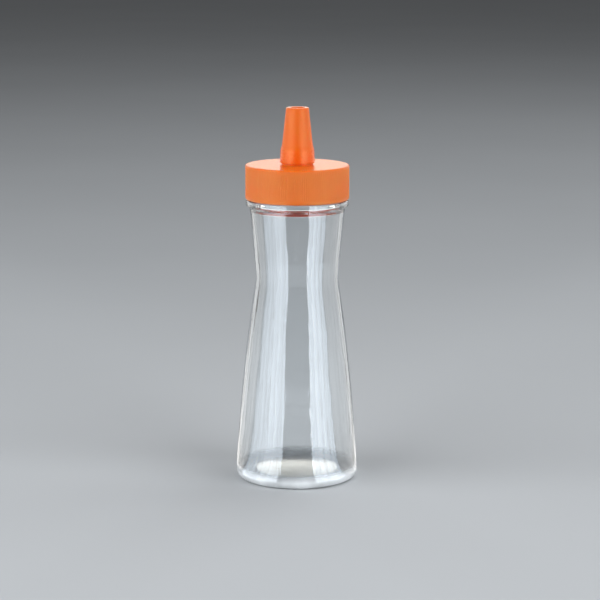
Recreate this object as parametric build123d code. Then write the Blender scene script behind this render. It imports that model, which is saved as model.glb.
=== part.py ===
from build123d import *

import os
from math import cos, pi, radians, sin, tan

# Clear waisted dressing bottle with a ribbed orange screw lid, a pouring spout and a pull-off tip cap.
# Millimetres, +Z up. The origin is the centre of the ring that the bottle stands on.
# There are four mouldings: the blown bottle, the lid with its spout, the flat packing ring between
# lid and mouth, and the tapered cap on the spout. Neck and lid share one helix for their threads.

# Bottle body: one long bulging curve from the foot to the waist, then a straight flare.
base_diameter = 66.2  # where the line of the side would meet the table
waist_diameter = 44.4  # where curve and flare would meet without their blend
waist_height = 110.6
side_bulge = 1.7  # of the curve, out from a straight line between foot and waist
waist_blend_radius = 40.0
shoulder_diameter = 51.6
shoulder_height = 149.2
shoulder_blend_radius = 1.2
body_wall = 1.1

# Base: a rounded heel, a flat ring to stand on, and a raised panel with the moulding gate under it.
heel_radius = 3.7
standing_ring_width = 2.2
riser_run = 4.7  # across the cone between the standing ring and the panel
panel_height = 3.2
panel_crown = 1.0
floor_thickness = 1.6
floor_blend_radius = 2.6
gate_diameter = 5.0
gate_height = 0.5

# Neck: a thick straight tube above a rounded support ring. Its thick wall starts inside the shoulder.
neck_bore = 46.0
neck_wall = 2.0
neck_height = 15.8  # from the top of the support ring to the mouth
lip_chamfer = 0.5
neck_root_depth = 1.8  # below the shoulder, where the thin wall of the body ends
neck_root_height = 3.4  # over which the wall thickens
support_ring_diameter = 55.4
support_ring_taper = 1.3  # height of its sloping underside
support_ring_rim = 3.0
support_ring_edge_radius = 0.5

# Thread, one helix for neck and lid.
thread_pitch = 4.5
thread_flank_angle = 30.0
thread_crest_width = 1.0
thread_flank_clearance = 0.3  # along the axis, between the two threads
thread_root_bite = 0.3  # how far a ridge reaches into the wall that carries it
neck_thread_depth = 1.2
neck_thread_turns = 1.5
neck_thread_below_mouth = 3.0
lid_thread_depth = 1.1
lid_thread_turns = 1.25
neck_thread_start_angle = 60.0  # degrees round from +X
lid_thread_lead_in = 45.0  # degrees from the start of the neck's thread to the start of the lid's

# Screw lid.
lid_diameter = 56.0
lid_height = 17.4
lid_top_thickness = 1.8
lid_thread_clearance = 0.4  # from the crest of the neck's thread to the inside of the skirt
lid_edge_radius = 0.8
lid_mouth_chamfer = 0.5
lid_foot_chamfer = 0.25
rib_count = 150
rib_depth = 0.25
rib_foot_band = 2.2  # smooth band under the ribs
rib_head_band = 1.2  # smooth band over them

# Spigot under the lid, which centres the packing ring and enters the mouth.
spigot_wall = 1.0
spigot_clearance = 0.35
spigot_reach = 1.8  # below the mouth

# Packing ring.
packing_thickness = 1.2
packing_clearance = 0.3  # to the spigot inside it and the skirt round it

# Spout on the lid.
boss_diameter = 17.0
boss_height = 2.1
boss_chamfer = 0.3
spout_foot_diameter = 15.2
spout_tip_diameter = 8.8
spout_height = 26.6  # above the boss
spout_wall = 1.5
spout_tip_chamfer = 0.35

# Tip cap over the spout.
tip_cap_height = 28.6
tip_cap_top_diameter = 12.2
tip_cap_taper_diameter = 16.5  # of the taper, where it leaves the collar
collar_diameter = 18.8
collar_top_diameter = 18.1
collar_height = 7.2
collar_slope_height = 2.4
collar_edge_radius = 3.0
collar_blend_radius = 7.0
tip_cap_edge_radius = 0.7
tip_cap_clearance = 0.35  # all round the spout
dimple_diameter = 8.0
dimple_depth = 0.5
plug_clearance = 0.3
plug_reach = 3.0  # into the spout

# Heights that follow.
support_ring_top = shoulder_height + support_ring_taper + support_ring_rim
mouth = support_ring_top + neck_height
lid_ceiling = mouth + packing_thickness
lid_top = lid_ceiling + lid_top_thickness
lid_foot = lid_top - lid_height
boss_top = lid_top + boss_height
spout_tip = boss_top + spout_height
tip_cap_ceiling = spout_tip + tip_cap_clearance
tip_cap_top = boss_top + tip_cap_height

# Radii that follow.
bore_radius = neck_bore / 2
neck_radius = bore_radius + neck_wall
neck_crest_radius = neck_radius + neck_thread_depth
skirt_radius = neck_crest_radius + lid_thread_clearance
lid_crest_radius = skirt_radius - lid_thread_depth
spigot_radius = bore_radius - spigot_clearance
flare_taper = (shoulder_diameter - waist_diameter) / 2 / (shoulder_height - waist_height)
root_radius = shoulder_diameter / 2 - body_wall - flare_taper * neck_root_depth
spout_taper = (spout_foot_diameter - spout_tip_diameter) / 2 / spout_height
orifice_radius = spout_tip_diameter / 2 - spout_wall
plug_radius = orifice_radius - plug_clearance

# Where the threads start, and how far the lid's ridge hangs below the neck's.
neck_thread_start = mouth - neck_thread_below_mouth - neck_thread_turns * thread_pitch
flank_run = (neck_crest_radius - lid_crest_radius) * tan(radians(thread_flank_angle))
thread_hang = thread_crest_width + flank_run + thread_flank_clearance
lid_thread_start = neck_thread_start - thread_hang + thread_pitch * lid_thread_lead_in / 360


def band(inner, outer, low, high):
    """A rectangle of a half section, between two radii and two heights."""
    return Pos(inner, low) * Rectangle(outer - inner, high - low, align=(Align.MIN, Align.MIN))


def cone(low_radius, high_radius, low, high):
    """The half section of a solid cone between two heights."""
    return make_face(Polyline((0, low), (low_radius, low), (high_radius, high), (0, high), close=True))


def rounded(section, radius, height, rounding):
    """The half section with its corner nearest to that radius and height rounded."""
    corner = section.vertices().sort_by_distance((radius, height))[0]
    return fillet(corner, rounding)


def bevelled(section, radius, height, bevel):
    """The half section with its corner nearest to that radius and height cut off."""
    corner = section.vertices().sort_by_distance((radius, height))[0]
    return chamfer(corner, bevel)


def turned(section):
    """The solid that a half section sweeps in one turn about the axis."""
    return revolve(Plane.XZ * section, axis=Axis.Z)


def blended(solid, radius, height, rounding):
    """The turned solid with its ring edge nearest to that radius and height rounded."""
    rings = solid.edges().filter_by(GeomType.CIRCLE)
    ring = min(rings, key=lambda edge: abs(edge.radius - radius) + abs(edge.arc_center.Z - height))
    return fillet(ring, rounding)


def thread(root_radius, crest_radius, turns):
    """A ridge on the helix, its foot bitten into the wall that carries it."""
    outward = 1 if crest_radius > root_radius else -1
    foot_radius = root_radius - outward * thread_root_bite
    crest = thread_crest_width / 2
    foot = crest + abs(crest_radius - foot_radius) * tan(radians(thread_flank_angle))
    corners = [(foot_radius, -foot), (crest_radius, -crest), (crest_radius, crest), (foot_radius, foot)]
    path = Helix(pitch=thread_pitch, height=turns * thread_pitch, radius=root_radius)
    return sweep(Plane.XZ * make_face(Polyline(*corners, close=True)), path=path, is_frenet=True)


def body_section(inset):
    """The half section from the table to the shoulder, its side drawn in by the inset."""
    foot = (base_diameter / 2 - inset, 0)
    waist = (waist_diameter / 2 - inset, waist_height)
    shoulder = (shoulder_diameter / 2 - inset, shoulder_height)
    bow = ((foot[0] + waist[0]) / 2 + 2 * side_bulge, waist_height / 2)
    side = Bezier(foot, bow, waist)
    return make_face(side + Polyline(waist, shoulder, (0, shoulder_height), (0, 0), foot))


def push_up():
    """The half section of the hollow under the base: a cone, then a slightly domed panel."""
    ring = base_diameter / 2 - heel_radius - standing_ring_width
    panel = ring - riser_run
    dome = ThreePointArc((-panel, panel_height), (0, panel_height + panel_crown), (panel, panel_height))
    domed = make_face(dome + Polyline((panel, panel_height), (panel, 0), (-panel, 0), (-panel, panel_height)))
    half_dome = domed & band(0, panel, 0, panel_height + panel_crown)
    return cone(ring, panel, 0, panel_height) + half_dome


def outer_form():
    """The solid inside the bottle's outer skin, from the standing ring to the mouth."""
    shoulder = (shoulder_diameter / 2, shoulder_height)
    rim = support_ring_diameter / 2
    rim_foot = support_ring_top - support_ring_rim
    neck = cone(shoulder[0], rim, shoulder_height, rim_foot)
    neck += band(0, rim, rim_foot, support_ring_top)
    neck += band(0, neck_radius, support_ring_top, mouth)
    neck = rounded(neck, rim, rim_foot, support_ring_edge_radius)
    neck = rounded(neck, rim, support_ring_top, support_ring_edge_radius)
    neck = bevelled(neck, neck_radius, mouth, lip_chamfer)
    gate = band(0, gate_diameter / 2, panel_height + panel_crown - gate_height, shoulder_height)
    form = turned(body_section(0) + neck - (push_up() - gate))
    form = blended(form, base_diameter / 2, 0, heel_radius)
    form = blended(form, waist_diameter / 2, waist_height, waist_blend_radius)
    return blended(form, *shoulder, shoulder_blend_radius)


def cavity_form():
    """The hollow as a solid: the body inset by its wall, then a cone in to the bore of the neck."""
    floor = Pos(0, floor_thickness) * push_up() + band(0, base_diameter, 0, floor_thickness)
    root_foot = shoulder_height - neck_root_depth
    root_head = root_foot + neck_root_height
    body = body_section(body_wall) - band(0, base_diameter, root_foot, shoulder_height)
    neck = cone(root_radius, bore_radius, root_foot, root_head) + band(0, bore_radius, root_head, mouth)
    form = turned(body + neck - floor)
    form = blended(form, base_diameter / 2 - body_wall, floor_thickness, floor_blend_radius)
    return blended(form, waist_diameter / 2 - body_wall, waist_height, waist_blend_radius)


def bottle():
    """The blown bottle, thin in the body and thick in the neck, with its outer thread."""
    ridge = thread(neck_radius, neck_crest_radius, neck_thread_turns)
    ridge = Pos(0, 0, neck_thread_start) * Rot(0, 0, neck_thread_start_angle) * ridge
    return outer_form() - cavity_form() + ridge


def packing_ring():
    """The flat ring between the lid's ceiling and the mouth."""
    inner = spigot_radius + packing_clearance
    return turned(band(inner, skirt_radius - packing_clearance, mouth, lid_ceiling))


def lid_section():
    """The half section of skirt, top, spigot, boss and spout, with the channel through them."""
    lid_radius = lid_diameter / 2
    boss_radius = boss_diameter / 2
    spout_radius = spout_foot_diameter / 2
    tip_radius = spout_tip_diameter / 2
    throat_radius = orifice_radius + spout_taper * (spout_tip - lid_ceiling)
    section = band(0, lid_radius, lid_foot, lid_top) - band(0, skirt_radius, lid_foot, lid_ceiling)
    section += band(spigot_radius - spigot_wall, spigot_radius, mouth - spigot_reach, lid_ceiling)
    section += band(0, boss_radius, lid_top, boss_top)
    section += cone(spout_radius, tip_radius, boss_top, spout_tip)
    section -= cone(throat_radius, orifice_radius, lid_ceiling, spout_tip)
    section = rounded(section, lid_radius, lid_top, lid_edge_radius)
    section = bevelled(section, lid_radius, lid_foot, lid_foot_chamfer)
    section = bevelled(section, boss_radius, boss_top, boss_chamfer)
    section = bevelled(section, tip_radius, spout_tip, spout_tip_chamfer)
    return bevelled(section, skirt_radius, lid_foot, lid_mouth_chamfer)


def rib_grooves():
    """The ring of V grooves that leaves the ribs standing on the skirt."""
    crest_radius = lid_diameter / 2
    corners = []
    for rib in range(rib_count):
        crest_angle = 2 * pi * rib / rib_count
        groove_angle = crest_angle + pi / rib_count
        corners.append((crest_radius * cos(crest_angle), crest_radius * sin(crest_angle)))
        groove_radius = crest_radius - rib_depth
        corners.append((groove_radius * cos(groove_angle), groove_radius * sin(groove_angle)))
    ribbed = make_face(Polyline(*corners, close=True))
    height = lid_height - rib_foot_band - rib_head_band
    return Pos(0, 0, lid_foot + rib_foot_band) * extrude(Circle(crest_radius + rib_depth) - ribbed, height)


def screw_lid():
    """The lid with its ribs, inner thread and spout."""
    ridge = thread(skirt_radius, lid_crest_radius, lid_thread_turns)
    ridge = Pos(0, 0, lid_thread_start) * Rot(0, 0, neck_thread_start_angle + lid_thread_lead_in) * ridge
    return turned(lid_section()) - rib_grooves() + ridge


def tip_cap():
    """The tapered cap with its collar, and the plug that enters the spout."""
    collar = collar_diameter / 2
    collar_edge = collar_top_diameter / 2
    taper = tip_cap_taper_diameter / 2
    top = tip_cap_top_diameter / 2
    collar_top = boss_top + collar_height
    taper_foot = collar_top + collar_slope_height
    hollow_foot = spout_foot_diameter / 2 + tip_cap_clearance
    hollow_head = hollow_foot - spout_taper * (tip_cap_ceiling - boss_top)
    section = cone(collar, collar_edge, boss_top, collar_top)
    section += cone(collar_edge, taper, collar_top, taper_foot)
    section += cone(taper, top, taper_foot, tip_cap_top)
    section = rounded(section, collar_edge, collar_top, collar_edge_radius)
    section = rounded(section, taper, taper_foot, collar_blend_radius)
    section = rounded(section, top, tip_cap_top, tip_cap_edge_radius)
    section -= cone(hollow_foot, hollow_head, boss_top, tip_cap_ceiling)
    section -= band(0, dimple_diameter / 2, tip_cap_top - dimple_depth, tip_cap_top)
    section += band(0, plug_radius, spout_tip - plug_reach, tip_cap_ceiling)
    return turned(section)


os.makedirs("parts", exist_ok=True)
for make_piece in (bottle, packing_ring, screw_lid, tip_cap):
    export_step(make_piece(), f"parts/{make_piece.__name__}.step")
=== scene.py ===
from math import cos, pi, radians, sin, sqrt, tan

import bpy
from mathutils import Euler, Matrix, Vector


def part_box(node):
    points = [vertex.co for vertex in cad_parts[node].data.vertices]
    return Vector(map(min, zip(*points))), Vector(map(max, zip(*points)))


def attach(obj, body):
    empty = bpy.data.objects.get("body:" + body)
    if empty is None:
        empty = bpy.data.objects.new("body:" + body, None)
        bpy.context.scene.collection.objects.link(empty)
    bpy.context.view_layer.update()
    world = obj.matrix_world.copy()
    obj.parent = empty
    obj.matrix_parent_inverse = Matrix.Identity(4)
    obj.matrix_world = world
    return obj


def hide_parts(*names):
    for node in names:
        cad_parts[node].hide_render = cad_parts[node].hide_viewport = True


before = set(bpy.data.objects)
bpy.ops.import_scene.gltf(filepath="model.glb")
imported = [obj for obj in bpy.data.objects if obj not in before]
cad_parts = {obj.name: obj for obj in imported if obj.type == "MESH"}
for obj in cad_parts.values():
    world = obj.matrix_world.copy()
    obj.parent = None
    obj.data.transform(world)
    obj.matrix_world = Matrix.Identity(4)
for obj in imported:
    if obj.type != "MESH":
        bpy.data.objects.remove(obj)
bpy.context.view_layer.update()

# The clear bottle. One thin blown moulding of clear plastic: a wide foot pushed up underneath, a side
# that bulges gently up to a narrow waist, a flare, a solid rounded ring that the mould grips,
# and a thick straight neck with its thread. The blank it is blown from leaves a gate underneath.
mm = 0.001
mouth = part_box("bottle")[1].z
foot_radius = 33.1 * mm
waist_radius = 22.2 * mm
waist_height = 110.6 * mm
side_bulge = 1.7 * mm
waist_softness = 0.64 * mm
shoulder_radius = 25.8 * mm
shoulder_height = 149.2 * mm
wall = 1.1 * mm
heel_rounding = 3.7 * mm
foot_rounding = 0.6 * mm
standing_ring = 27.2 * mm
panel_radius = 22.5 * mm
panel_height = 3.2 * mm
panel_crown = 1.0 * mm
panel_rounding = 1.0 * mm
dome_start = 4.0 * mm
dome_end = panel_radius - 2.0 * mm
floor_thickness = 1.6 * mm
floor_rounding = 1.2 * mm
gate_radius = 2.5 * mm
gate_depth = 0.5 * mm
gate_rounding = 0.1 * mm
shoulder_rounding = 1.2 * mm
root_foot = 147.4 * mm
root_head = 150.8 * mm
root_foot_rounding = 0.6 * mm
root_head_rounding = 1.5 * mm
ring_radius = 27.7 * mm
ring_foot = 150.5 * mm
ring_top = 153.5 * mm
ring_rounding = 0.5 * mm
bore_radius = 23.0 * mm
neck_radius = 25.0 * mm
neck_foot_rounding = 0.3 * mm
mouth_outer_rounding = 0.5 * mm
mouth_inner_rounding = 0.3 * mm
wall_waviness = 0.24 * mm
wavy_foot = 8.0 * mm
wavy_head = 140.0 * mm
flutes_around = 6.0
flutes_up = 2.5
thread_pitch = 4.5 * mm
thread_crest = 1.0 * mm
thread_flank = tan(radians(30))
thread_run_out = 0.05
neck_thread_depth = 1.2 * mm
neck_thread_turns = 1.5
neck_thread_start = mouth - 3.0 * mm - neck_thread_turns * thread_pitch
neck_thread_angle = radians(60)


def side_radius(height):
    """The outer radius of the body: the bulging side and the straight flare, blended at the waist."""
    along = height / waist_height
    side = foot_radius + (waist_radius - foot_radius) * along + 4 * side_bulge * along * (1 - along)
    rise = (height - waist_height) / (shoulder_height - waist_height)
    flare = waist_radius + (shoulder_radius - waist_radius) * rise
    return (side + flare + sqrt((side - flare) ** 2 + waist_softness**2)) / 2


def dome(lift, first, last, steps):
    """Corners along the domed panel of the base, from one radius to another."""
    radii = [first + (last - first) * step / steps for step in range(steps + 1)]
    return [(r, lift + panel_height + panel_crown * (1 - (r / panel_radius) ** 2), 0) for r in radii]


def upright(radius, low, high, spacing):
    """Corners up or down a straight wall, close enough together to carry a thread."""
    steps = round(abs(high - low) / spacing)
    return [(radius, low + (high - low) * step / steps, 0) for step in range(steps + 1)]


def outline(corners, round_steps=6):
    """Points along corners of radius, height and rounding, each rounded, with a point on both sides."""
    beside = 0.2 * mm
    points = [Vector(corners[0][:2])]
    for before, corner, after in zip(corners, corners[1:], corners[2:]):
        here = Vector(corner[:2])
        rounding = corner[2]
        if rounding == 0:
            points.append(here)
            continue
        back = (Vector(before[:2]) - here).normalized()
        ahead = (Vector(after[:2]) - here).normalized()
        half = back.angle(ahead) / 2
        reach = rounding / tan(half)
        centre = here + (back + ahead).normalized() * rounding / sin(half)
        start = here + back * reach - centre
        end = here + ahead * reach - centre
        points.append(centre + start + back * beside)
        for step in range(round_steps + 1):
            points.append(centre + start.slerp(end, step / round_steps) * rounding)
        points.append(centre + end + ahead * beside)
    points.append(Vector(corners[-1][:2]))
    return points


def put(tree, kind, settings=None, **inputs):
    """A node with its settings. An input is called by its name, or by _ and its place."""
    node = tree.nodes.new(kind)
    for name, value in (settings or {}).items():
        setattr(node, name, value)
    for name, value in inputs.items():
        key = int(name[1:]) if name[1:].isdigit() else name.replace("_", " ")
        socket = node.inputs[key]
        if isinstance(value, bpy.types.NodeSocket):
            tree.links.new(value, socket)
        else:
            socket.default_value = value
    return node


def maths(tree, operation, *values, clamp=False):
    """The output of one operation on numbers and sockets."""
    inputs = {f"_{place}": value for place, value in enumerate(values)}
    settings = {"operation": operation, "use_clamp": clamp}
    return put(tree, "ShaderNodeMath", settings, **inputs).outputs[0]


def tree_of(name, **sockets):
    """A geometry tree with the named inputs, and its input and output nodes."""
    tree = bpy.data.node_groups.new(name, "GeometryNodeTree")
    for label, kind in sockets.items():
        label = label.replace("_", " ")
        tree.interface.new_socket(name=label, in_out="INPUT", socket_type="NodeSocket" + kind)
    tree.interface.new_socket(name="Geometry", in_out="OUTPUT", socket_type="NodeSocketGeometry")
    return tree, tree.nodes.new("NodeGroupInput").outputs, tree.nodes.new("NodeGroupOutput").inputs


def plain_mesh(source, tree, values):
    """The mesh that a geometry tree makes of an object, with the tree's named inputs set."""
    modifier = source.modifiers.new(tree.name, "NODES")
    modifier.node_group = tree
    for item in tree.interface.items_tree:
        if item.in_out == "INPUT" and item.name in values:
            modifier[item.identifier] = values[item.name]
    evaluated = source.evaluated_get(bpy.context.evaluated_depsgraph_get())
    mesh = bpy.data.meshes.new_from_object(evaluated)
    source.modifiers.remove(modifier)
    return mesh


def ridge_height(tree, given, turn, height):
    """How far the thread's ridge stands out at a turn from 0 to 1 and a height. Its ends run out."""
    pitch = given["Pitch"]
    turns = given["Turns"]
    rise = maths(tree, "SUBTRACT", height, given["Thread Start"])
    climb = maths(tree, "SUBTRACT", maths(tree, "DIVIDE", rise, pitch), turn)
    lap = maths(tree, "ROUND", climb)
    off_centre = maths(tree, "ABSOLUTE", maths(tree, "SUBTRACT", climb, lap))
    away = maths(tree, "MULTIPLY", off_centre, pitch)
    depth = maths(tree, "ABSOLUTE", given["Thread Depth"])
    run = maths(tree, "MULTIPLY", depth, given["Flank"])
    edge = maths(tree, "MULTIPLY_ADD", given["Crest"], 0.5, run)
    slope = maths(tree, "DIVIDE", maths(tree, "SUBTRACT", edge, away), run, clamp=True)
    travelled = maths(tree, "ADD", turn, lap)
    remaining = maths(tree, "SUBTRACT", turns, travelled)
    run_in = maths(tree, "MULTIPLY", travelled, 1 / thread_run_out, clamp=True)
    run_out = maths(tree, "MULTIPLY", remaining, 1 / thread_run_out, clamp=True)
    ends = maths(tree, "MULTIPLY", run_in, run_out)
    return maths(tree, "MULTIPLY", maths(tree, "MULTIPLY", slope, ends), given["Thread Depth"])


def rib_groove(tree, given, turn, height):
    """How far a skirt is cut in between its grip ribs, round bars side by side, at a turn from 0 to 1."""
    bar = given["Rib Radius"]
    around = maths(tree, "MULTIPLY", turn, given["Ribs"])
    girth = maths(tree, "MULTIPLY", given["Rib Crest"], 2 * pi)
    spacing = maths(tree, "DIVIDE", girth, given["Ribs"])
    offset = maths(tree, "SUBTRACT", around, maths(tree, "ROUND", around))
    away = maths(tree, "MULTIPLY", offset, spacing)
    bar_squared = maths(tree, "MULTIPLY", bar, bar)
    away_squared = maths(tree, "MULTIPLY", away, away)
    rest = maths(tree, "MAXIMUM", maths(tree, "SUBTRACT", bar_squared, away_squared), 0.0)
    fall = maths(tree, "SUBTRACT", bar, maths(tree, "SQRT", rest))
    above = maths(tree, "GREATER_THAN", height, given["Rib Foot"])
    below = maths(tree, "LESS_THAN", height, given["Rib Head"])
    ribbed = maths(tree, "MULTIPLY", above, below)
    return maths(tree, "MULTIPLY", maths(tree, "MINIMUM", fall, given["Rib Depth"]), ribbed)


def turning_tree():
    """Turns an outline about Z into a closed skin with thread and ribs. A hollow's wall may wander."""
    same_radius = 0.01 * mm
    weld_distance = 0.001 * mm
    tree, given, made = tree_of(
        "turning",
        Outline="Geometry",
        Segments="Int",
        Thread_Radius="Float",
        Thread_Start="Float",
        Thread_Angle="Float",
        Thread_Depth="Float",
        Turns="Float",
        Pitch="Float",
        Crest="Float",
        Flank="Float",
        Ribs="Float",
        Rib_Crest="Float",
        Rib_Radius="Float",
        Rib_Depth="Float",
        Rib_Foot="Float",
        Rib_Head="Float",
        Waviness="Float",
        Wavy_From="Int",
        Wavy_Foot="Float",
        Wavy_Head="Float",
        Finish="Material",
    )
    # A grid whose rows are the outline's points and whose columns are turns about Z.
    size = put(tree, "GeometryNodeAttributeDomainSize", _0=given["Outline"])
    rows = size.outputs["Point Count"]
    columns = maths(tree, "ADD", given["Segments"], 1.0)
    grid = put(tree, "GeometryNodeMeshGrid", Vertices_X=columns, Vertices_Y=rows)
    index = put(tree, "GeometryNodeInputIndex").outputs[0]
    row = maths(tree, "MODULO", index, rows)
    column = maths(tree, "FLOOR", maths(tree, "DIVIDE", index, rows))
    turn = maths(tree, "DIVIDE", column, given["Segments"])
    angle = maths(tree, "MULTIPLY", turn, 2 * pi)
    across = maths(tree, "COSINE", angle)
    along = maths(tree, "SINE", angle)
    place = put(
        tree,
        "GeometryNodeSampleIndex",
        {"data_type": "FLOAT_VECTOR"},
        Geometry=given["Outline"],
        Value=put(tree, "GeometryNodeInputPosition").outputs[0],
        Index=row,
    )
    part = put(tree, "ShaderNodeSeparateXYZ", _0=place.outputs[0])
    radius = part.outputs["X"]
    height = part.outputs["Z"]

    # The thread stands on one upright wall, and the ribs are left standing on another.
    start = maths(tree, "DIVIDE", given["Thread Angle"], 2 * pi)
    from_start = maths(tree, "ADD", maths(tree, "SUBTRACT", turn, start), 1.0)
    from_start = maths(tree, "FRACT", from_start)
    on_wall = maths(tree, "COMPARE", radius, given["Thread Radius"], same_radius)
    ridge = maths(tree, "MULTIPLY", ridge_height(tree, given, from_start, height), on_wall)
    on_crest = maths(tree, "COMPARE", radius, given["Rib Crest"], same_radius)
    groove = maths(tree, "MULTIPLY", rib_groove(tree, given, turn, height), on_crest)
    relief = maths(tree, "SUBTRACT", ridge, groove)

    # A blown hollow's wall wanders in upright flutes, which fade out at its foot and head.
    flutes = put(
        tree,
        "ShaderNodeCombineXYZ",
        X=across,
        Y=along,
        Z=maths(tree, "MULTIPLY", height, flutes_up),
    )
    noise = put(
        tree,
        "ShaderNodeTexNoise",
        Vector=flutes.outputs[0],
        Scale=flutes_around,
        Detail=3.0,
    )
    offset = maths(tree, "SUBTRACT", noise.outputs[0], 0.5)
    wander = maths(tree, "MULTIPLY", offset, given["Waviness"])
    span = maths(tree, "SUBTRACT", given["Wavy Head"], given["Wavy Foot"])
    above_foot = maths(tree, "SUBTRACT", height, given["Wavy Foot"])
    share = maths(tree, "DIVIDE", above_foot, span, clamp=True)
    swell = maths(tree, "SINE", maths(tree, "MULTIPLY", share, pi))
    hollow = maths(tree, "GREATER_THAN", row, given["Wavy From"])
    wander = maths(tree, "MULTIPLY", maths(tree, "MULTIPLY", wander, swell), hollow)

    radius = maths(tree, "ADD", maths(tree, "ADD", radius, relief), wander)
    turned = put(
        tree,
        "ShaderNodeCombineXYZ",
        X=maths(tree, "MULTIPLY", radius, across),
        Y=maths(tree, "MULTIPLY", radius, along),
        Z=height,
    )
    shape = put(tree, "GeometryNodeSetPosition", _0=grid.outputs[0], Position=turned.outputs[0])
    shape = put(tree, "GeometryNodeMergeByDistance", _0=shape.outputs[0], Distance=weld_distance)
    shape = put(tree, "GeometryNodeSetShadeSmooth", _0=shape.outputs[0])
    shape = put(tree, "GeometryNodeRealizeInstances", _0=shape.outputs[0])
    shape = put(tree, "GeometryNodeSetMaterial", _0=shape.outputs[0], Material=given["Finish"])
    tree.links.new(shape.outputs[0], made[0])
    return tree


turning = turning_tree()


def turned_piece(name, points, finish, segments=144, **values):
    """A piece turned from its outline, which lies in the XZ plane with radii along X."""
    mesh = bpy.data.meshes.new(name + "_outline")
    mesh.from_pydata([(point.x, 0, point.y) for point in points], [], [])
    section = bpy.data.objects.new(name + "_outline", mesh)
    bpy.context.scene.collection.objects.link(section)
    given = {"Segments": segments, "Pitch": thread_pitch, "Finish": finish}
    given |= {key.replace("_", " "): value for key, value in values.items()}
    skin = plain_mesh(section, turning, given)
    bpy.data.objects.remove(section)
    piece = bpy.data.objects.new(name, skin)
    bpy.context.scene.collection.objects.link(piece)
    return piece


side_steps = 110
side_foot = 4.4 * mm
side_head = shoulder_height - 1.0 * mm
thread_rows = 0.18 * mm
neck_wall_foot = ring_top + 0.7 * mm
neck_wall_head = mouth - 0.9 * mm
bore_head = mouth - 0.8 * mm


def outer_corners():
    """From the gate under the base out to the heel, up the side to the mouth."""
    crown = panel_height + panel_crown
    corners = [(0, crown - gate_depth, 0), (gate_radius, crown - gate_depth, gate_rounding)]
    corners += [(gate_radius, crown, gate_rounding)] + dome(0, dome_start, dome_end, 6)
    corners += [(panel_radius, panel_height, panel_rounding)]
    corners += [(standing_ring, 0, foot_rounding), (side_radius(0), 0, heel_rounding)]
    for step in range(side_steps + 1):
        height = side_foot + (side_head - side_foot) * step / side_steps
        corners.append((side_radius(height), height, 0))
    corners += [(shoulder_radius, shoulder_height, shoulder_rounding)]
    corners += [(ring_radius, ring_foot, ring_rounding), (ring_radius, ring_top, ring_rounding)]
    corners += [(neck_radius, ring_top, neck_foot_rounding)]
    corners += upright(neck_radius, neck_wall_foot, neck_wall_head, thread_rows)
    corners += [(neck_radius, mouth, mouth_outer_rounding)]
    return corners + [(bore_radius, mouth, mouth_inner_rounding)]


def hollow_corners():
    """From the mouth down the hollow to the middle of the floor."""
    root_radius = side_radius(root_foot) - wall
    corners = [(bore_radius, bore_head, 0), (bore_radius, root_head, root_head_rounding)]
    corners += [(root_radius, root_foot, root_foot_rounding)]
    hollow_head = root_foot - 0.7 * mm
    hollow_foot = floor_thickness + side_foot
    for step in range(side_steps + 1):
        height = hollow_head + (hollow_foot - hollow_head) * step / side_steps
        corners.append((side_radius(height) - wall, height, 0))
    heel_radius = side_radius(floor_thickness) - wall
    corners += [(heel_radius, floor_thickness, heel_rounding - wall)]
    corners += [(standing_ring, floor_thickness, floor_rounding)]
    corners += [(panel_radius, panel_height + floor_thickness, floor_rounding)]
    return corners + dome(floor_thickness, dome_end, 0, 8)


def material_of(name):
    """A material with its tree, its shader node and the place of each point in the shared frame."""
    material = bpy.data.materials.new(name)
    material.use_nodes = True
    tree = material.node_tree
    place = put(tree, "ShaderNodeTexCoord").outputs["Object"]
    return material, tree, tree.nodes["Principled BSDF"], place


def ramp(tree, value, start, end, first, last):
    """Goes from first to last while the value goes from start to end, and stays there beyond them."""
    between = {"From_Min": start, "From_Max": end, "To_Min": first, "To_Max": last}
    return put(tree, "ShaderNodeMapRange", Value=value, **between).outputs[0]


haze_foot = 4.0 * mm
haze_head = 8.5 * mm
haze_least = 0.3
haze_clouds = 1.2
haze_roughness = 0.05


def clear_plastic():
    """Clear blown plastic: colourless and glossy, with upright flow lines and a hazy base."""
    material, tree, shader, place = material_of("clear_plastic")
    shader.inputs["Base Color"].default_value = (0.955, 0.975, 0.985, 1)
    shader.inputs["IOR"].default_value = 1.57
    stretched = put(tree, "ShaderNodeMapping", Vector=place, Scale=(1, 1, 0.06)).outputs[0]
    lines = put(tree, "ShaderNodeTexNoise", Vector=stretched, Scale=260.0, Detail=3.0).outputs[0]
    cloud = put(tree, "ShaderNodeTexNoise", Vector=place, Scale=60.0, Detail=4.0).outputs[0]
    smooth = ramp(tree, cloud, 0.0, 1.0, 0.015, 0.045)
    height = put(tree, "ShaderNodeSeparateXYZ", _0=place).outputs["Z"]
    low = ramp(tree, height, haze_foot, haze_head, 1.0, 0.0)
    clouds = maths(tree, "MULTIPLY_ADD", cloud, haze_clouds, haze_least)
    haze = maths(tree, "MULTIPLY", low, clouds, clamp=True)
    rough = maths(tree, "MULTIPLY_ADD", haze, haze_roughness, smooth)
    tree.links.new(rough, shader.inputs["Roughness"])
    clearness = maths(tree, "MULTIPLY_ADD", haze, -1.0, 1.0)
    tree.links.new(clearness, shader.inputs["Transmission Weight"])
    bump = put(tree, "ShaderNodeBump", Strength=0.6, Distance=0.25 * mm, Height=lines).outputs[0]
    tree.links.new(bump, shader.inputs["Normal"])
    return material


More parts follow.
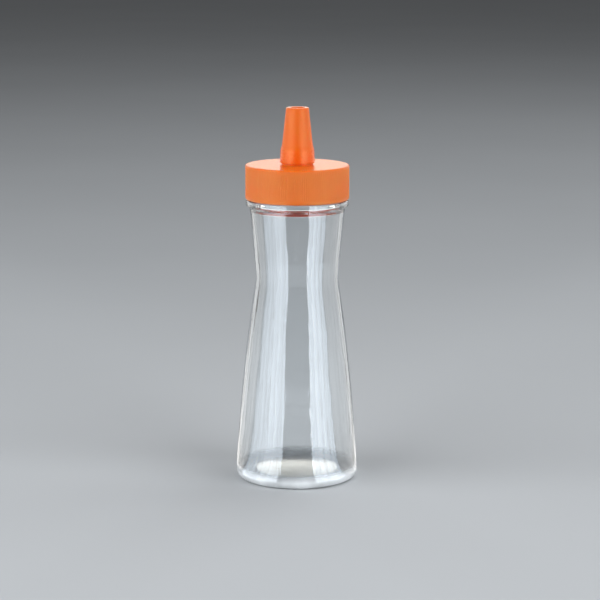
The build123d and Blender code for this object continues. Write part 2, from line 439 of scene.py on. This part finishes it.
outer_points = outline(outer_corners() + hollow_corners()[:1])[:-1]
hollow_points = outline([(bore_radius, mouth, 0)] + hollow_corners())[1:]
bottle = turned_piece(
    "clear_bottle",
    outer_points + hollow_points,
    clear_plastic(),
    segments=192,
    Thread_Radius=neck_radius,
    Thread_Start=neck_thread_start,
    Thread_Angle=neck_thread_angle,
    Thread_Depth=neck_thread_depth,
    Turns=neck_thread_turns,
    Crest=thread_crest,
    Flank=thread_flank,
    Waviness=2 * wall_waviness,
    Wavy_From=len(outer_points),
    Wavy_Foot=wavy_foot,
    Wavy_Head=wavy_head,
)
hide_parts("bottle")
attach(bottle, "vessel")

# The packing ring. A flat punched ring of soft milky plastic foam, laid loose in the lid's ceiling
# round the spigot and pressed on the bottle's mouth when the lid is screwed down.
packing_inner = 22.95 * mm
packing_outer = 26.3 * mm
packing_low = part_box("packing_ring")[0].z
packing_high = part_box("packing_ring")[1].z
packing_rounding = 0.2 * mm


def blend(tree, factor, first, second):
    """A colour that goes from the first to the second with the factor."""
    mix = put(tree, "ShaderNodeMix", {"data_type": "RGBA"}, Factor=factor)
    mix.inputs[6].default_value = (*first, 1)
    mix.inputs[7].default_value = (*second, 1)
    return mix.outputs[2]


def milky_foam():
    """Soft milky packing: matt, with a fine grain and a little light let through."""
    material, tree, shader, place = material_of("milky_foam")
    grain = put(tree, "ShaderNodeTexNoise", Vector=place, Scale=2200.0, Detail=3.0).outputs[0]
    tone = blend(tree, grain, (0.76, 0.76, 0.72), (0.86, 0.86, 0.83))
    tree.links.new(tone, shader.inputs["Base Color"])
    rough = ramp(tree, grain, 0.0, 1.0, 0.6, 0.8)
    tree.links.new(rough, shader.inputs["Roughness"])
    shader.inputs["Subsurface Weight"].default_value = 0.3
    shader.inputs["Subsurface Scale"].default_value = 1.5 * mm
    bump = put(tree, "ShaderNodeBump", Strength=0.3, Distance=0.05 * mm, Height=grain).outputs[0]
    tree.links.new(bump, shader.inputs["Normal"])
    return material


packing_middle = (packing_inner + packing_outer) / 2
packing_corners = [
    (packing_middle, packing_low, 0),
    (packing_outer, packing_low, packing_rounding),
    (packing_outer, packing_high, packing_rounding),
    (packing_inner, packing_high, packing_rounding),
    (packing_inner, packing_low, packing_rounding),
    (packing_middle, packing_low, 0),
]
packing_ring = turned_piece("milky_packing_ring", outline(packing_corners), milky_foam())
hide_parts("packing_ring")
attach(packing_ring, "seal")

# The screw lid. One orange moulding: a skirt with fine upright grip ribs and the inner thread, a
# glossy flat top, a spigot that enters the mouth, and a low boss with the hollow tapered spout.
lid_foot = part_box("screw_lid")[0].z
spout_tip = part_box("screw_lid")[1].z
lid_height = 17.4 * mm
lid_top = lid_foot + lid_height
lid_ceiling = lid_top - 1.8 * mm
lid_radius = 28.0 * mm
lid_edge = 0.8 * mm
lid_rounding = 0.3 * mm
skirt_inner = 26.6 * mm
skirt_rounding = 0.8 * mm
# The skirt is seen to reach a little lower than the solid's, to just over the bottle's ring.
skirt_overhang = 1.1 * mm
skirt_foot = lid_foot - skirt_overhang
spigot_outer = 22.65 * mm
spigot_inner = 21.65 * mm
spigot_foot = mouth - 1.8 * mm
boss_radius = 8.5 * mm
# The boss is seen to be lower than the solid's, and the tip cap sits on it.
boss_height = 1.0 * mm
boss_top = lid_top + boss_height
boss_rounding = 0.2 * mm
spout_foot_radius = 7.6 * mm
spout_tip_radius = 4.4 * mm
spout_tip_rounding = 0.35 * mm
orifice_radius = 2.9 * mm
orifice_rounding = 0.12 * mm
spout_taper = (spout_foot_radius - spout_tip_radius) / (spout_tip - boss_top)
throat_radius = orifice_radius + spout_taper * (spout_tip - lid_ceiling)
lid_thread_depth = 1.1 * mm
lid_thread_turns = 1.25
lid_thread_start = lid_foot + 3.51 * mm
lid_thread_angle = radians(105)
rib_count = 150
rib_depth = 0.25 * mm
rib_radius = 0.65 * mm
rib_foot = skirt_foot + 2.2 * mm
rib_head = lid_top - 1.2 * mm
rib_end = 0.12 * mm


def lid_corners():
    """Once round the lid's half section: ceiling, inside and outside of the skirt, top and spout."""
    middle = (spigot_outer + skirt_inner) / 2
    inner_wall_head = lid_ceiling - 0.8 * mm
    inner_wall_foot = lid_foot + 1.2 * mm
    corners = [(middle, lid_ceiling, 0), (skirt_inner, lid_ceiling, lid_rounding)]
    corners += upright(skirt_inner, inner_wall_head, inner_wall_foot, 2 * thread_rows)
    corners += [(skirt_inner, skirt_foot, lid_rounding), (lid_radius, skirt_foot, skirt_rounding)]
    for height in (rib_foot - rib_end, rib_foot + rib_end, rib_foot + 3 * rib_end):
        corners.append((lid_radius, height, 0))
    for height in (rib_head - 3 * rib_end, rib_head - rib_end, rib_head + rib_end):
        corners.append((lid_radius, height, 0))
    corners += [(lid_radius, lid_top, lid_edge), (boss_radius, lid_top, boss_rounding)]
    corners += [(boss_radius, boss_top, lid_rounding), (spout_foot_radius, boss_top, boss_rounding)]
    corners += [(spout_tip_radius, spout_tip, spout_tip_rounding)]
    corners += [(orifice_radius, spout_tip, orifice_rounding)]
    corners += [(throat_radius, lid_ceiling, lid_rounding), (spigot_inner, lid_ceiling, lid_rounding)]
    corners += [(spigot_inner, spigot_foot, lid_rounding), (spigot_outer, spigot_foot, lid_rounding)]
    return corners + [(spigot_outer, lid_ceiling, lid_rounding), (middle, lid_ceiling, 0)]


def orange_plastic(name, deep, light, dull_foot, dull_head, dull, glossy, depth):
    """Moulded orange plastic that lets light in to a depth: glossy, and duller between two heights."""
    material, tree, shader, place = material_of(name)
    cloud = put(tree, "ShaderNodeTexNoise", Vector=place, Scale=45.0, Detail=4.0).outputs[0]
    tree.links.new(blend(tree, cloud, deep, light), shader.inputs["Base Color"])
    height = put(tree, "ShaderNodeSeparateXYZ", _0=place).outputs["Z"]
    over = ramp(tree, height, dull_foot, dull_foot + 2 * mm, 0.0, 1.0)
    under = ramp(tree, height, dull_head + 0.5 * mm, dull_head, 0.0, 1.0)
    dulled = maths(tree, "MULTIPLY", over, under)
    finish = maths(tree, "MULTIPLY_ADD", dulled, dull - glossy, glossy)
    grain = put(tree, "ShaderNodeTexNoise", Vector=place, Scale=900.0, Detail=3.0).outputs[0]
    uneven = maths(tree, "MULTIPLY_ADD", grain, 0.12, -0.06)
    rough = maths(tree, "ADD", finish, uneven, clamp=True)
    tree.links.new(rough, shader.inputs["Roughness"])
    shader.inputs["Specular IOR Level"].default_value = 0.27
    shader.inputs["Specular Tint"].default_value = (1.0, 0.95, 0.5, 1)
    shader.inputs["Subsurface Weight"].default_value = 0.8
    shader.inputs["Subsurface Radius"].default_value = (1.0, 0.35, 0.1)
    shader.inputs["Subsurface Scale"].default_value = depth
    bump = put(tree, "ShaderNodeBump", Strength=0.15, Distance=0.02 * mm, Height=grain).outputs[0]
    tree.links.new(bump, shader.inputs["Normal"])
    return material


orange_lid = orange_plastic(
    "orange_lid",
    deep=(0.88, 0.138, 0.007),
    light=(0.94, 0.172, 0.010),
    dull_foot=skirt_foot - 2 * mm,
    dull_head=lid_top - 0.7 * mm,
    dull=0.5,
    glossy=0.32,
    depth=5.0 * mm,
)
screw_lid = turned_piece(
    "orange_screw_lid",
    outline(lid_corners(), round_steps=4),
    orange_lid,
    segments=4 * rib_count,
    Thread_Radius=skirt_inner,
    Thread_Start=lid_thread_start,
    Thread_Angle=lid_thread_angle,
    Thread_Depth=-lid_thread_depth,
    Turns=lid_thread_turns,
    Crest=thread_crest,
    Flank=thread_flank,
    Ribs=float(rib_count),
    Rib_Crest=lid_radius,
    Rib_Radius=rib_radius,
    Rib_Depth=rib_depth,
    Rib_Foot=rib_foot,
    Rib_Head=rib_head,
)
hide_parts("screw_lid")
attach(screw_lid, "lid")

# The tip cap. One orange moulding pushed over the spout: a tapered cap with a dished top, a wider
# glossy collar that fingers pull it by, and a plug inside that closes the spout's hole.
cap_foot = boss_top
cap_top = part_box("tip_cap")[1].z
collar_radius = 9.4 * mm
collar_top_radius = 9.05 * mm
collar_top = cap_foot + 7.2 * mm
collar_foot_rounding = 0.4 * mm
collar_top_rounding = 3.0 * mm
taper_foot_radius = 8.25 * mm
taper_foot = collar_top + 2.4 * mm
taper_foot_rounding = 7.0 * mm
taper_top_radius = 6.1 * mm
cap_edge = 0.7 * mm
cap_clearance = 0.35 * mm
cap_hollow_rounding = 0.3 * mm
cap_ceiling = spout_tip + cap_clearance
cap_hollow_foot = spout_foot_radius + cap_clearance
cap_hollow_head = cap_hollow_foot - spout_taper * (cap_ceiling - boss_top)
plug_radius = 2.6 * mm
plug_foot = spout_tip - 3.0 * mm
plug_foot_rounding = 0.4 * mm
plug_root_rounding = 0.2 * mm
dimple_radius = 4.0 * mm
dimple_floor_radius = dimple_radius - 0.3 * mm
dimple_depth = 0.5 * mm
dimple_edge = 0.25 * mm
dimple_floor_rounding = 0.2 * mm


def cap_corners():
    """From the plug's foot out and down the inside, then up the outside to the dished top."""
    dimple_floor = cap_top - dimple_depth
    corners = [(0, plug_foot, 0), (plug_radius, plug_foot, plug_foot_rounding)]
    corners += [(plug_radius, cap_ceiling, plug_root_rounding)]
    corners += [(cap_hollow_head, cap_ceiling, cap_hollow_rounding)]
    corners += [(cap_hollow_foot, cap_foot, cap_hollow_rounding)]
    corners += [(collar_radius, cap_foot, collar_foot_rounding)]
    corners += [(collar_top_radius, collar_top, collar_top_rounding)]
    corners += [(taper_foot_radius, taper_foot, taper_foot_rounding)]
    corners += [(taper_top_radius, cap_top, cap_edge), (dimple_radius, cap_top, dimple_edge)]
    corners += [(dimple_floor_radius, dimple_floor, dimple_floor_rounding)]
    return corners + [(0, dimple_floor, 0)]


orange_cap = orange_plastic(
    "orange_cap",
    deep=(0.84, 0.128, 0.003),
    light=(0.89, 0.158, 0.005),
    dull_foot=collar_top,
    dull_head=cap_top - 0.8 * mm,
    dull=0.48,
    glossy=0.28,
    depth=2.0 * mm,
)
tip_cap = turned_piece("orange_tip_cap", outline(cap_corners()), orange_cap)
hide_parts("tip_cap")
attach(tip_cap, "cap")

# The floor. A plain pale studio table, larger than the camera sees.
floor_side = 16.0


def pale_floor():
    """Pale matt paper with a trace of unevenness."""
    material, tree, shader, place = material_of("pale_floor")
    cloud = put(tree, "ShaderNodeTexNoise", Vector=place, Scale=3.0, Detail=3.0).outputs[0]
    tone = blend(tree, cloud, (0.54, 0.545, 0.55), (0.58, 0.585, 0.59))
    tree.links.new(tone, shader.inputs["Base Color"])
    shader.inputs["Roughness"].default_value = 1.0
    shader.inputs["Specular IOR Level"].default_value = 0.0
    return material


half_side = floor_side / 2
floor_mesh = bpy.data.meshes.new("floor")
floor_corners = [
    (-half_side, -half_side, 0),
    (half_side, -half_side, 0),
    (half_side, half_side, 0),
    (-half_side, half_side, 0),
]
floor_mesh.from_pydata(floor_corners, [], [(0, 1, 2, 3)])
floor_mesh.materials.append(pale_floor())
floor = bpy.data.objects.new("floor", floor_mesh)
bpy.context.scene.collection.objects.link(floor)

# The light. Two softboxes in front only light the object. Lit cards on the table and upright beyond
# it draw the two bright strips down the bottle, and its dimmer flanks. Narrow lights behind draw the
# edges, a panel behind lights the lid's top and the base, and a light overhead fills in.
aim = Vector((0, 0, 0.15))
cool = (0.92, 0.96, 1.0)
warm = (1.0, 0.96, 0.86)
bluish = (0.82, 0.91, 1.0)
neutral = (1.0, 0.99, 0.97)
card_start = 45 * mm
card_distance = 0.9
card_lift = 1 * mm
card_height = 0.755
streak_contrast = 0.4
glow_in_front = 1.3
glow_at_sides = 0.5


def softbox(name, place, width, height, radiance, color=cool, spread=180, mirrored=True, through=False):
    """A rectangular light of that radiance, aimed at the bottle and hidden from the camera."""
    light = bpy.data.lights.new(name, "AREA")
    light.shape = "RECTANGLE"
    light.size = width
    light.size_y = height
    half_spread = radians(spread) / 2
    light.energy = radiance * pi * width * height * (1 - half_spread / tan(half_spread))
    light.color = color
    light.spread = radians(spread)
    lamp = bpy.data.objects.new(name, light)
    lamp.location = place
    lamp.rotation_euler = (aim - Vector(place)).to_track_quat("-Z", "Y").to_euler()
    lamp.visible_camera = False
    lamp.visible_glossy = mirrored
    lamp.visible_transmission = through
    bpy.context.scene.collection.objects.link(lamp)


def lit_card(name, radiance, color):
    """The glow on one side of a card: strongest in front, in faint streaks that fan out."""
    material, tree, shader, place = material_of(name)
    tree.nodes.remove(shader)
    flatten = {"operation": "MULTIPLY"}
    level = put(tree, "ShaderNodeVectorMath", flatten, _0=place, _1=(1, 1, 0)).outputs[0]
    bearing = put(tree, "ShaderNodeVectorMath", {"operation": "NORMALIZE"}, _0=level).outputs[0]
    streaks = put(tree, "ShaderNodeTexNoise", Vector=bearing, Scale=14.0, Detail=3.0).outputs[0]
    glow = ramp(tree, streaks, 0.35, 0.65, 1 - streak_contrast, 1 + streak_contrast)
    forward = put(tree, "ShaderNodeSeparateXYZ", _0=bearing).outputs["Y"]
    fade = ramp(tree, forward, -0.9, 0.0, glow_in_front, glow_at_sides)
    glow = maths(tree, "MULTIPLY", glow, maths(tree, "MULTIPLY", fade, radiance))
    behind = put(tree, "ShaderNodeNewGeometry").outputs["Backfacing"]
    strength = maths(tree, "MULTIPLY", glow, maths(tree, "SUBTRACT", 1.0, behind))
    light = put(tree, "ShaderNodeEmission", Color=(*color, 1), Strength=strength)
    tree.links.new(light.outputs[0], tree.nodes["Material Output"].inputs["Surface"])
    return material


def card_corners(left_bearing, right_bearing):
    """Corners of a card on the table, from beside the bottle outwards, and of one upright at its end."""
    far = card_distance / cos((left_bearing - right_bearing) / 2)
    corners = []
    for reach, height in ((card_start, card_lift), (far, card_lift), (far, card_height)):
        for bearing in (left_bearing, right_bearing):
            corners.append((-sin(bearing) * reach, -cos(bearing) * reach, height))
    return corners


def lit_cards(name, radiance, color, *spans):
    """Cards seen only in reflections, for spans of degrees from the front, positive to the left."""
    corners = []
    faces = []
    for left_degrees, right_degrees in spans:
        first = len(corners)
        corners += card_corners(radians(left_degrees), radians(right_degrees))
        faces += [(first, first + 2, first + 3, first + 1)]
        faces += [(first + 3, first + 2, first + 4, first + 5)]
    mesh = bpy.data.meshes.new(name)
    mesh.from_pydata(corners, [], faces)
    mesh.materials.append(lit_card(name, radiance, color))
    cards = bpy.data.objects.new(name, mesh)
    cards.visible_camera = False
    cards.visible_diffuse = False
    cards.visible_transmission = False
    cards.visible_shadow = False
    bpy.context.scene.collection.objects.link(cards)


lit_cards("front_cards", 6.7, bluish, (90, 26), (-27, -72))
lit_cards("side_cards", 3.4, neutral, (148, 93), (-75, -148))
softbox("left_softbox", (-1.15, -0.72, 0.85), 1.8, 1.2, 2.85, mirrored=False)
softbox("right_softbox", (1.03, -0.88, 0.85), 1.3, 1.2, 3.2, mirrored=False)
softbox("left_rim", (-0.40, 0.80, 0.40), 0.12, 0.70, 5.0, spread=40)
softbox("right_rim", (0.40, 0.80, 0.40), 0.12, 0.70, 5.0, spread=40)
softbox("back_panel", (0, 1.0, 0.38), 0.7, 0.36, 3.2, color=warm, spread=40, through=True)
softbox("overhead", (0.9, 0.8, 2.2), 1.6, 1.6, 2.1, through=True)

room_light = (0.12, 0.124, 0.128)
world = bpy.data.worlds.new("studio")
bpy.context.scene.world = world
world.use_nodes = True
world.node_tree.nodes["Background"].inputs["Color"].default_value = (*room_light, 1)

# The camera. It stands 1.14 m in front, looks down at the photograph's angle, and leans a little
# as the photograph does.
camera_place = (0, -1.139, 0.316)
downward_view = 10.83
camera_pitch = radians(90 - downward_view)
camera_yaw = radians(-0.081)
camera_roll = radians(0.15)
sensor_width = 36
focal_length = 127.9
camera = bpy.data.objects.new("camera", bpy.data.cameras.new("camera"))
camera.data.sensor_width = sensor_width
camera.data.lens = focal_length
camera.location = camera_place
level_turn = Euler((camera_pitch, 0, camera_yaw)).to_matrix()
camera.rotation_euler = (level_turn @ Matrix.Rotation(camera_roll, 3, "Z")).to_euler()
bpy.context.scene.collection.objects.link(camera)
bpy.context.scene.camera = camera
bpy.context.scene.view_settings.view_transform = "Standard"
